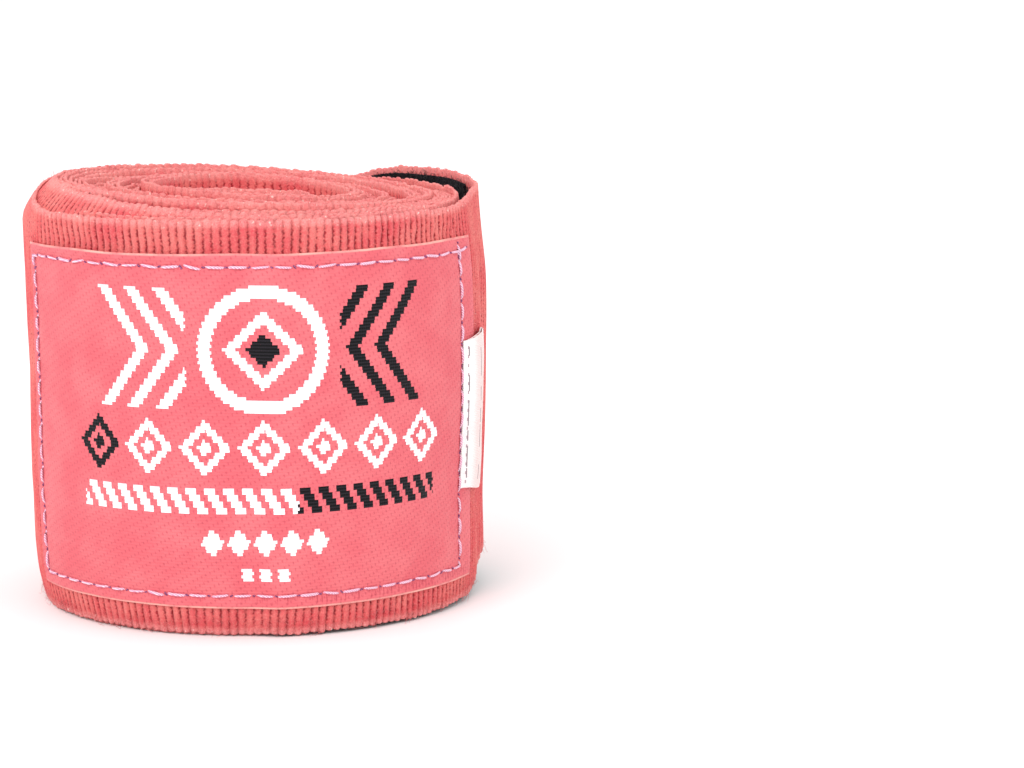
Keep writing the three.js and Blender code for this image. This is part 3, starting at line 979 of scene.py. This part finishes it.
def make_label():
    """The woven satin label."""
    figure_middle, figure_radius = 6.0, 29.6

    def shape(angle, share, extra, side):
        turn = np.radians(angle)
        low = LABEL_BOTTOM + 0.1 * ripple(turn * 6.0, 0.0, 61)
        high = LABEL_TOP + 0.12 * ripple(turn * 7.0, 0.0, 62) + 0.2 * np.sin(turn)
        height = low + share * (high - low) + extra
        radius = label_radius(angle, height) + side * 0.11
        along = np.radians(angle - figure_middle) * figure_radius
        ends = np.minimum(angle - LABEL_START, LABEL_END - angle) * DEGREE_RUN
        edge = np.minimum(np.minimum(share, 1 - share) * (high - low), ends + 0.2)
        skew = 0.35 * ripple(height * 0.3, 0.0, 63)
        wide = angle + skew * np.sign(angle) * np.abs(angle / 70.0) ** 8
        return on_roll(wide, radius, height), np.stack((along, height, edge), axis=-1)

    angles = np.linspace(LABEL_START, LABEL_END, 420)
    rows = section_rows(spread(90, 0.3), spread(16)[::-1], 0.07)
    piece = strip("label_cloth", angles, rows, shape, satin_finish())
    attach(piece, "roll")
    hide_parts("woven_label")


def make_care_tag():
    """The small folded tag, sewn down just past the label's end seam and lying over the label's end."""
    half = TAG_HEIGHT / 2

    def shape(t, share, extra, side):
        angle = TAG_START + (TAG_END - TAG_START) * (1 - np.abs(t))
        ply = np.clip(t * 9.0, -1, 1)
        height = TAG_BOTTOM + share * TAG_HEIGHT + extra
        middle = (height - TAG_BOTTOM - half) / half
        height = height + 0.6 * middle * np.abs(middle) ** 3 * (ease(angle, 67, 76) - 1.0)
        bow = 0.6 * np.sin(np.pi * np.clip((angle - TAG_START) / 17.0, 0, 1)) * (1 - 0.35 * middle ** 4)
        wave = 0.1 * np.sin(height * 0.42 + 0.6) * ease(angle, 73, 83) + bow
        under = np.minimum(angle, LABEL_END - 0.2)
        past = middle_radius(angle, height) - middle_radius(under, height)
        radius = label_radius(under, height) + past + 0.32 - 0.35 * ease(angle, 74, 80) + wave
        radius = radius + 0.17 * ply * ease(angle, TAG_START, 69.0) + side * 0.06 * np.sign(ply + 1e-9)
        weave = np.stack(((angle - TAG_START) * DEGREE_RUN, height - TAG_BOTTOM, side), axis=-1)
        return on_roll(angle, radius, height), weave

    along = np.concatenate((np.linspace(-1, -0.12, 26), np.linspace(-0.1, 0.1, 13), np.linspace(0.12, 1, 26)))
    rows = section_rows(spread(40, 0.3), spread(40, 0.3)[::-1], 0.05)
    piece = strip("care_tag_cloth", along, rows, shape, tag_finish())
    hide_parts("care_tag")
    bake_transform(piece)


def seam_places(corners, radius_at, pitch, closed=False):
    """Evenly spaced places along a seam through corners, each an angle and a height, in millimetres."""
    corners = list(corners) + ([corners[0]] if closed else [])
    route = np.concatenate([np.linspace(a, b, 60, endpoint=False) for a, b in zip(corners, corners[1:])]
                           + [np.array([corners[-1]], float)])
    points = on_roll(route[:, 0], radius_at(route[:, 0], route[:, 1]), route[:, 1])
    length = np.concatenate(([0.0], np.cumsum(np.linalg.norm(np.diff(points, axis=0), axis=1))))
    count = max(round(length[-1] / pitch), 1)

    def at(s):
        return np.interp(s, length, route[:, 0]), np.interp(s, length, route[:, 1])

    return at, length[-1] / count, count


def stitches(name, routes, radius_at, pitch, share, width, rise, finish, seed, shift=0.0):
    """A row of stitches over each route, drawn down into the cloth at both ends."""
    made = [seam_places(corners, radius_at, pitch, closed) for corners, closed in routes]
    owner = np.concatenate([np.full(count, i) for i, (_, _, count) in enumerate(made)])
    order = np.concatenate([np.arange(count) for _, _, count in made])
    random = np.random.default_rng(seed)
    tilt, stretch = random.normal(0, 0.10, len(owner)), random.uniform(0.9, 1.06, len(owner))
    fat = width * random.uniform(0.85, 1.15, len(owner))

    def curve(i, t):
        i = i.astype(int)
        angle, height = np.zeros(t.shape), np.zeros(t.shape)
        for number, (at, real, _) in enumerate(made):
            here = owner[i] == number
            s = (order[i] + 0.5 + shift + (t - 0.5) * share * stretch[i]) * real
            a, z = at(s)
            a2, z2 = at(s + 0.05)
            run = np.hypot((a2 - a) * DEGREE_RUN, z2 - z) + 1e-9
            lean_by = (t - 0.5) * tilt[i] * pitch
            a = a - (z2 - z) / run * lean_by / DEGREE_RUN
            z = z + (a2 - at(s)[0]) * DEGREE_RUN / run * lean_by
            angle, height = np.where(here, a, angle), np.where(here, z, height)
        arch = rise * (1 - np.abs(2 * t - 1) ** 3.2) - 0.14
        width_here = fat[i] * (1 - 0.35 * np.abs(2 * t - 1) ** 4)
        return on_roll(angle, radius_at(angle, height) + arch, height), width_here

    return bent_copies(name, len(owner), 8, 7, finish, curve)


def seam_dent(angle, height):
    """How far the tab's seam pulls the cloth in."""
    upper, lower = upper_edge(angle) - SEAM_INSET, follow(SEAM_LOWER, angle)
    share = (height - lower) / (upper - lower)
    far = 9.0
    along_top = (angle > SEAM_HIGH_START) & (angle < SEAM_HIGH_END)
    along_bottom = (angle > SEAM_LOW_START) & (angle < SEAM_LOW_END)
    lines = np.where(along_top, np.abs(height - upper), far)
    lines = np.minimum(lines, np.where(along_bottom, np.abs(height - lower), far))
    start = SEAM_LOW_START + (SEAM_HIGH_START - SEAM_LOW_START) * share
    end = SEAM_LOW_END + (SEAM_HIGH_END - SEAM_LOW_END) * share
    ends = np.minimum(np.abs(angle - start), np.abs(angle - end)) * 0.54
    away = np.minimum(lines, np.where((share > 0) & (share < 1), ends, far))
    return -0.2 * np.exp(-((away / 0.7) ** 2))


def tab_seam_routes():
    """The tab's box seam, cut where the tab's three lengths meet."""

    def upper(angle):
        return angle, float(upper_edge(np.float64(angle))) - SEAM_INSET

    def lower(angle):
        return angle, float(follow(SEAM_LOWER, np.float64(angle)))

    def fine(point, start, end):
        return [point(angle) for angle in np.linspace(start, end, 24)]

    _, first, second, _ = TAB_SPLITS
    low, high = lower(SEAM_LOW_START), upper(SEAM_HIGH_START)
    cut = np.interp(first, (SEAM_LOW_START, SEAM_HIGH_START), (0.0, 1.0))
    middle = (first, low[1] + cut * (high[1] - low[1]))
    return (
        (([low, middle], False), (fine(lower, SEAM_LOW_START, first), False)),
        (([middle, high], False), (fine(upper, SEAM_HIGH_START, second), False),
         (fine(lower, first, second), False)),
        ((fine(upper, second, SEAM_HIGH_END), False), ([upper(SEAM_HIGH_END), lower(SEAM_LOW_END)], False),
         (fine(lower, second, SEAM_LOW_END), False)),
    )


def tab_surface(angle, height):
    return middle_radius(angle, height) + 0.165 + 0.13 + seam_dent(angle, height) * 0.5


def label_surface(angle, height):
    return label_radius(angle, height) + 0.13


def make_seams():
    """The sewn seams: needle thread in long stitches, and dark bobbin thread that shows at the holes."""
    thread = thread_finish("Needle thread", shade(255, 226, 238), shade(232, 160, 196))
    bobbin = thread_finish("Bobbin thread", shade(46, 26, 54), shade(12, 8, 16))
    faint = thread_finish("Faint bobbin thread", shade(170, 92, 140), shade(112, 52, 96))
    low, high = LABEL_BOTTOM + LABEL_INSET, LABEL_TOP - LABEL_INSET
    box = [(-62.0, low), (66.4, low + 0.1), (66.0, high), (-62.4, high - 0.1)]
    routes = [(box, True), ([(66.0, high), (70.6, high + 0.35)], False),
              ([(66.2, high - 1.6), (66.4, high + 1.1)], False)]
    for name, share, width, rise, finish, pitch, shift in (
            ("label_stitches", 0.84, 0.17, 0.32, thread, 2.75, 0.0),
            ("label_bobbin_ticks", 0.13, 0.11, 0.2, faint, 2.75, 0.5)):
        piece = stitches(name, routes, label_surface, pitch, share, width, rise, finish, 71, shift)
        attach(piece, "roll")
        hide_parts("label_thread")
    nodes = (("tab_thread_root",), ("tab_thread_middle_upper", "tab_thread_middle_lower"),
             ("tab_thread_end",))
    for part, routes in enumerate(tab_seam_routes()):
        for name, share, width, rise, finish, pitch, shift in (
                ("tab_stitches_", 0.8, 0.17, 0.34, thread, 2.8, 0.0),
                ("tab_bobbin_ticks_", 0.2, 0.13, 0.24, bobbin, 2.8, 0.5)):
            piece = stitches(name + TAB_NAMES[part], routes, tab_surface, pitch, share, width, rise, finish,
                             73, shift)
            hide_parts(*nodes[part])
            tab_join(piece, part)


def make_thumb_loop():
    """The flat tape loop wound up double in the core."""
    sewn = BAND_START + 50.0
    wound = (TAPE_RADIUS - FOLD_RADIUS) / TAPE_PITCH * 360.0
    bottom, top_middle, tape_width = 4.6, 48.4, 44.0

    def shape(t, share, extra, side):
        angle = sewn - wound + np.abs(t) * wound
        ply = (TAPE_THICKNESS + PLY_GAP) / 2 * np.clip(t * 22.0, -1, 1)
        radius = FOLD_RADIUS + (TAPE_RADIUS - FOLD_RADIUS) * np.abs(t) + ply + side * 0.16 * np.sign(t + 1e-9)
        top = top_middle + 0.5 * np.sin(np.radians(angle) * 0.9 + 0.4) - 0.5 * (1 - np.abs(t))
        height = bottom + share * (top - bottom) + extra
        rib = t * 18.0
        radius = radius + 0.04 * side * np.cos(2 * np.pi * rib)
        edge = np.minimum(share, 1 - share) * tape_width
        weave = np.stack((rib, share * tape_width, edge), axis=-1)
        return on_roll(angle, radius, height), weave

    along = np.concatenate((np.linspace(-1, -0.05, 150), np.linspace(-0.045, 0.045, 15),
                            np.linspace(0.05, 1, 150)))
    rows = section_rows((0, 0.03, 0.5, 0.95, 1), (1, 0.95, 0.5, 0.03, 0), 0.08)
    piece = strip("thumb_tape", along, rows, shape, ribbed_finish())
    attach(piece, "roll")
    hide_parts("thumb_loop")


def hairs(name, count, seed, place, length, width, curl, finish):
    """Loose fibres. place(random, count) gives angles, radii and heights of their roots."""
    random = np.random.default_rng(seed)
    angle, radius, height = place(random, count)
    reach = length * random.uniform(0.5, 1.3, count)
    turn, tip, phase = random.uniform(-1, 1, (3, count))

    def curve(i, t):
        i = i.astype(int)
        out = reach[i] * (0.55 * t * np.abs(turn[i]) - 0.1)
        rise = reach[i] * (t * tip[i] * 0.7 + curl * 0.22 * np.sin(t * 7.0 + phase[i] * 3))
        slide = reach[i] * (t * turn[i] + curl * 0.25 * np.cos(t * 6.0 + phase[i] * 5))
        z = np.maximum(height[i] + rise, 0.08)
        points = on_roll(angle[i] + np.degrees(slide / SIDE_RADIUS), radius[i] + out, z)
        return points, np.full(t.shape, width) * (1 - 0.6 * t)

    return bent_copies(name, count, 6, 3, finish, curve)


def make_loose_fibres():
    """Stray cotton fibres along the edges, and black frayed nylon where the patches end."""
    cotton = thread_finish("Loose cotton", shade(250, 150, 150), shade(214, 92, 98))
    nylon = thread_finish("Frayed nylon", shade(34, 30, 36), shade(8, 7, 9))

    def lower_rim(random, count):
        angle = random.uniform(-123, 98, count)
        height = lower_edge(angle) + random.uniform(-0.2, 1.6, count)
        return angle, middle_radius(angle, height) + 0.3, height

    def upper_rim(random, count):
        angle = random.uniform(-123, 98, count)
        height = upper_edge(angle) - random.uniform(-0.1, 0.5, count)
        return angle, middle_radius(angle, height) + random.uniform(-0.1, 0.3, count), height

    def inner_rims(random, count):
        angle = random.uniform(BAND_START + 700, LEAN_END, count)
        height = upper_edge(angle)
        return angle, middle_radius(angle, height) + random.uniform(-0.2, 0.2, count), height + 0.05

    def pocket(random, count):
        angle = random.uniform(74, 150, count)
        height = hook_high(angle) - random.uniform(-0.3, 0.6, count)
        return angle, hook_radius(angle, height) - random.uniform(0.0, 0.5, count), height

    def lower_corner(random, count):
        angle = random.uniform(100, 150, count)
        height = lower_edge(angle) + random.uniform(-0.5, 0.8, count)
        return angle, hook_radius(angle, height) + random.uniform(-0.2, 0.6, count), height

    def loop_end(random, count):
        angle = random.uniform(213, 217.4, count)
        height = loop_low(angle) + random.uniform(0, 1, count) * (loop_high(angle) - loop_low(angle))
        return angle, loop_radius(angle, height) + 0.2, height

    for name, count, seed, place, length, width, curl, finish in (
            ("fibres_lower_rim", 260, 81, lower_rim, 1.7, 0.028, 1.0, cotton),
            ("fibres_upper_rim", 220, 82, upper_rim, 0.9, 0.024, 1.0, cotton),
            ("fibres_inner_rims", 900, 83, inner_rims, 0.8, 0.024, 1.0, cotton),
            ("frayed_loop_end", 90, 86, loop_end, 1.0, 0.03, 1.4, nylon),
            ("frayed_pocket", 150, 84, pocket, 1.0, 0.035, 1.3, nylon)):
        piece = hairs(name, count, seed, place, length, width, curl, finish)
        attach(piece, "roll")
    corner = hairs("frayed_lower_corner", 130, 85, lower_corner, 1.9, 0.034, 1.5, nylon)
    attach(corner, "tab_root")


def make_stage():
    """The floor, the soft lights and the camera."""
    scene = bpy.context.scene
    settings = scene.wrap_stage
    bm = bmesh.new()
    bmesh.ops.create_grid(bm, x_segments=8, y_segments=8, size=4.0)
    mesh = bpy.data.meshes.new("floor")
    bm.to_mesh(mesh)
    bm.free()
    link("floor", mesh, floor_finish())
    for name, place, size, power in (("key_light", (-0.35, -0.75, 0.75), 0.7, settings.key_power),
                                     ("fill_light", (0.75, -0.55, 0.45), 0.8, settings.fill_power),
                                     ("back_light", (0.0, 0.8, 0.7), 0.9, settings.fill_power)):
        light = bpy.data.lights.new(name, "AREA")
        light.shape, light.size, light.energy = "SQUARE", size, power
        lamp = bpy.data.objects.new(name, light)
        scene.collection.objects.link(lamp)
        lamp.location = place
        aim = -lamp.location.copy()
        aim.z += 0.025
        lamp.rotation_euler = aim.to_track_quat("-Z", "Y").to_euler()
    world = bpy.data.worlds.new("plain_white")
    world.use_nodes = True
    world.node_tree.nodes["Background"].inputs[0].default_value = (1, 1, 1, 1)
    world.node_tree.nodes["Background"].inputs[1].default_value = settings.sky_strength
    scene.world = world
    camera_place, camera_tilt = (0.031958, -0.391609, 0.086), 81.44
    camera = bpy.data.objects.new("camera", bpy.data.cameras.new("camera"))
    scene.collection.objects.link(camera)
    camera.location = camera_place
    camera.rotation_euler = (math.radians(camera_tilt), 0, 0)
    camera.data.lens, camera.data.sensor_width = settings.lens, 36.0
    camera.data.clip_start, camera.data.clip_end = 0.01, 20.0
    scene.camera = camera
    scene.view_settings.view_transform = "Standard"


# ------------------------------------------------------------------------------------------
# Settings, operators and the sidebar


class BandSettings(bpy.types.PropertyGroup):
    rib_pitch: bpy.props.FloatProperty(
        name="Rib pitch", description="Distance between neighbouring ribs",
        default=0.00113, min=0.0004, precision=5, unit="LENGTH")
    rib_depth: bpy.props.FloatProperty(
        name="Rib depth", description="How far a rib stands out of the cloth",
        default=0.00028, min=0.0, precision=5, unit="LENGTH")
    rib_colour: bpy.props.FloatVectorProperty(
        name="Rib colour", description="Dye on the ribs",
        default=shade(235, 125, 120), size=4, min=0, max=1, subtype="COLOR")
    deep_colour: bpy.props.FloatVectorProperty(
        name="Deep colour", description="Dye where the cloth is darker",
        default=shade(224, 90, 96), size=4, min=0, max=1, subtype="COLOR")
    groove_colour: bpy.props.FloatVectorProperty(
        name="Groove colour", description="Binding thread between ribs",
        default=shade(148, 28, 42), size=4, min=0, max=1, subtype="COLOR")


class LabelSettings(bpy.types.PropertyGroup):
    ground_colour: bpy.props.FloatVectorProperty(
        name="Ground colour", description="The label's satin",
        default=shade(226, 115, 121), size=4, min=0, max=1, subtype="COLOR")


class StageSettings(bpy.types.PropertyGroup):
    lens: bpy.props.FloatProperty(
        name="Lens", description="Focal length in millimetres",
        default=106.5, min=1)
    sky_strength: bpy.props.FloatProperty(
        name="Sky strength", description="Light from all round",
        default=1.15, min=0)
    key_power: bpy.props.FloatProperty(
        name="Key light", description="Power of the main light",
        default=4.8, min=0, unit="POWER")
    fill_power: bpy.props.FloatProperty(
        name="Fill light", description="Power of the other lights",
        default=0.8, min=0, unit="POWER")
    floor_colour: bpy.props.FloatVectorProperty(
        name="Floor colour", description="Paint on the floor",
        default=(0.9, 0.9, 0.9, 1.0), size=4, min=0, max=1, subtype="COLOR")


class WRAP_OT_stage(bpy.types.Operator):
    """Set up the floor, the lights and the camera"""
    bl_idname = "wrap.stage"
    bl_label = "Stage"

    def execute(self, context):
        make_stage()
        return {"FINISHED"}


class WRAP_OT_core_turns(bpy.types.Operator):
    """Wind the inner turns of the band"""
    bl_idname = "wrap.core_turns"
    bl_label = "Inner turns"

    def execute(self, context):
        make_core_turns()
        return {"FINISHED"}


class WRAP_OT_outer_turns(bpy.types.Operator):
    """Wind the two outer turns of the band"""
    bl_idname = "wrap.outer_turns"
    bl_label = "Outer turns"

    def execute(self, context):
        make_outer_turns()
        return {"FINISHED"}


class WRAP_OT_closure_tab(bpy.types.Operator):
    """Make the closure tab at the end of the band"""
    bl_idname = "wrap.closure_tab"
    bl_label = "Closure tab"

    def execute(self, context):
        make_closure_tab()
        return {"FINISHED"}


class WRAP_OT_patches(bpy.types.Operator):
    """Sew on the loop patch and the hook patch"""
    bl_idname = "wrap.patches"
    bl_label = "Patches"

    def execute(self, context):
        make_patches()
        return {"FINISHED"}


class WRAP_OT_hooks_and_loops(bpy.types.Operator):
    """Cover the patches with hooks and loops"""
    bl_idname = "wrap.hooks_and_loops"
    bl_label = "Hooks and loops"

    def execute(self, context):
        make_hooks_and_loops()
        return {"FINISHED"}


class WRAP_OT_label(bpy.types.Operator):
    """Lay on the woven label"""
    bl_idname = "wrap.label"
    bl_label = "Woven label"

    def execute(self, context):
        make_label()
        return {"FINISHED"}


class WRAP_OT_care_tag(bpy.types.Operator):
    """Fold the care tag at the label's end"""
    bl_idname = "wrap.care_tag"
    bl_label = "Care tag"

    def execute(self, context):
        make_care_tag()
        return {"FINISHED"}


class WRAP_OT_seams(bpy.types.Operator):
    """Sew the seams of the label and the tab"""
    bl_idname = "wrap.seams"
    bl_label = "Seams"

    def execute(self, context):
        make_seams()
        return {"FINISHED"}


class WRAP_OT_thumb_loop(bpy.types.Operator):
    """Wind the thumb loop into the core"""
    bl_idname = "wrap.thumb_loop"
    bl_label = "Thumb loop"

    def execute(self, context):
        make_thumb_loop()
        return {"FINISHED"}


class WRAP_OT_loose_fibres(bpy.types.Operator):
    """Add stray and frayed fibres"""
    bl_idname = "wrap.loose_fibres"
    bl_label = "Loose fibres"

    def execute(self, context):
        make_loose_fibres()
        return {"FINISHED"}


OPERATORS = (WRAP_OT_stage, WRAP_OT_core_turns, WRAP_OT_outer_turns, WRAP_OT_closure_tab, WRAP_OT_patches,
             WRAP_OT_hooks_and_loops, WRAP_OT_label, WRAP_OT_care_tag, WRAP_OT_seams, WRAP_OT_thumb_loop,
             WRAP_OT_loose_fibres)
SETTINGS = (("wrap_band", BandSettings), ("wrap_label", LabelSettings), ("wrap_stage", StageSettings))


class VIEW3D_PT_hand_wrap(bpy.types.Panel):
    """The hand wrap's sizes and colours, and its pieces"""
    bl_label = "Hand Wrap"
    bl_space_type = "VIEW_3D"
    bl_region_type = "UI"
    bl_category = "Hand Wrap"

    def draw(self, context):
        for name, kind in SETTINGS:
            box = self.layout.box()
            for title in kind.__annotations__:
                box.prop(getattr(context.scene, name), title)
        for operator in OPERATORS:
            self.layout.operator(operator.bl_idname)


def register():
    for name, kind in SETTINGS:
        bpy.utils.register_class(kind)
        setattr(bpy.types.Scene, name, bpy.props.PointerProperty(type=kind))
    for kind in OPERATORS + (VIEW3D_PT_hand_wrap,):
        bpy.utils.register_class(kind)


def unregister():
    for kind in (VIEW3D_PT_hand_wrap,) + OPERATORS[::-1]:
        bpy.utils.unregister_class(kind)
    for name, kind in SETTINGS[::-1]:
        delattr(bpy.types.Scene, name)
        bpy.utils.unregister_class(kind)


def main():
    register()
    bpy.ops.wrap.stage()
    bpy.ops.wrap.core_turns()
    bpy.ops.wrap.outer_turns()
    bpy.ops.wrap.closure_tab()
    bpy.ops.wrap.patches()
    bpy.ops.wrap.hooks_and_loops()
    bpy.ops.wrap.label()
    bpy.ops.wrap.care_tag()
    bpy.ops.wrap.seams()
    bpy.ops.wrap.thumb_loop()
    bpy.ops.wrap.loose_fibres()


if __name__ == "__main__":
    main()
